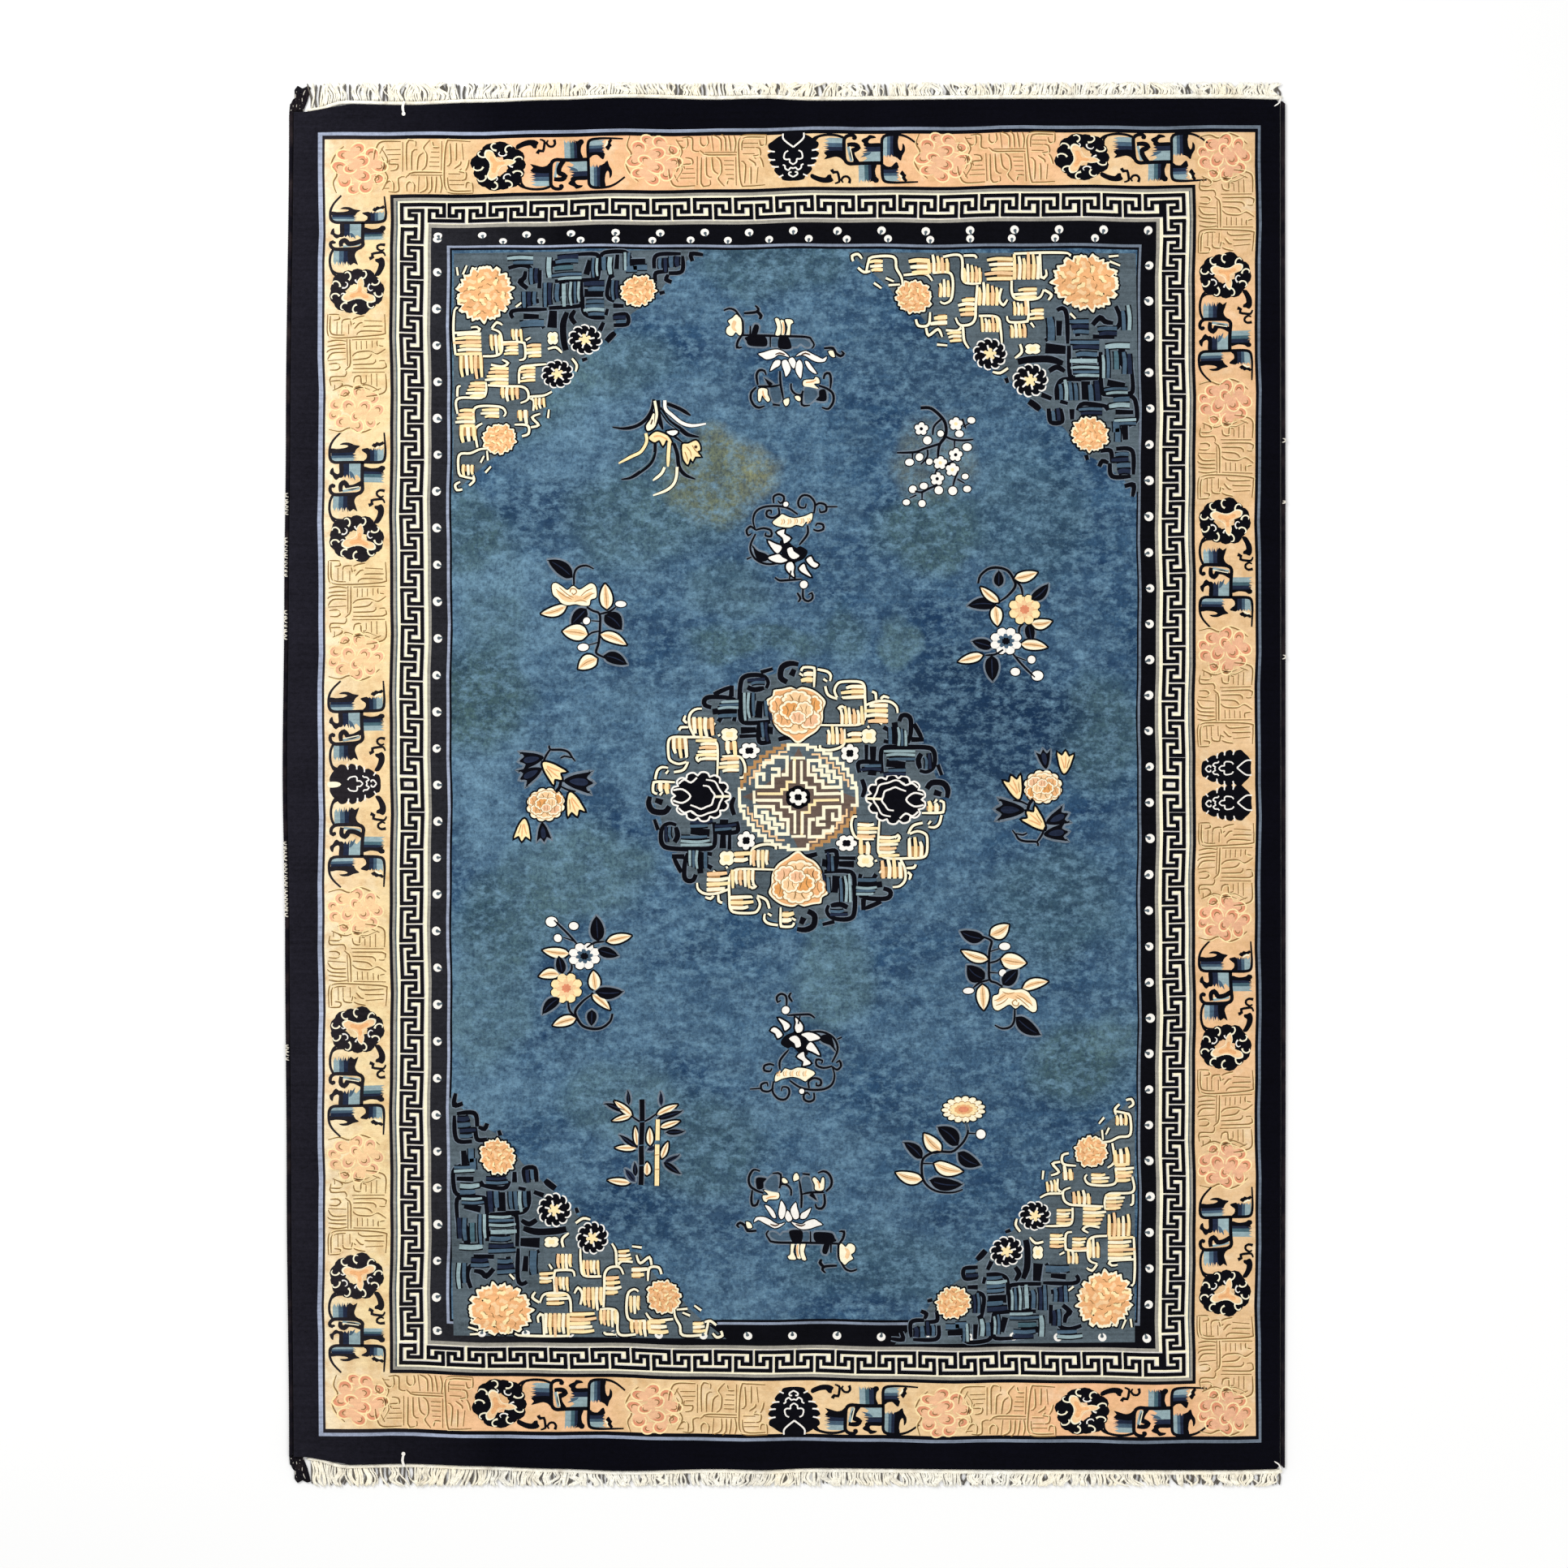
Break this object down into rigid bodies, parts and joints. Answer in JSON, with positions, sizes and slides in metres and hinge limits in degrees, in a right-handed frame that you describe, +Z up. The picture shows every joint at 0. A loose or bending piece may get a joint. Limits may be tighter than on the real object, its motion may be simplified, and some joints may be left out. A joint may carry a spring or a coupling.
{
  "type": "peking rug",
  "caption": "Large hand-knotted wool rug lying flat, with a round medallion, flower and fretwork borders, overcast side cords and a cotton warp fringe along each end",
  "frame": {"origin": "on the floor under the middle of the rug", "axes": "+Y runs along the rug's length to its top end, +X across it to its right-hand side, +Z up through the pile"},
  "size_m": [2.4719, 3.466, 0.012],
  "materials": {
    "wool_pile": "clipped hand-spun wool pile, slightly silky, abrashed blue field with cream, gold and near-black zones",
    "overcast_wool": "near-black wool whipped closely round the outer warps, worn pale in places",
    "cotton_warp": "loose twisted natural cotton, cream"
  },
  "bodies": {
    "root": {"rug_pile": "wool_pile", "selvedge_left": "overcast_wool", "selvedge_right": "overcast_wool", "fringe_top": "cotton_warp", "fringe_bottom": "cotton_warp"}
  },
  "joints": []
}
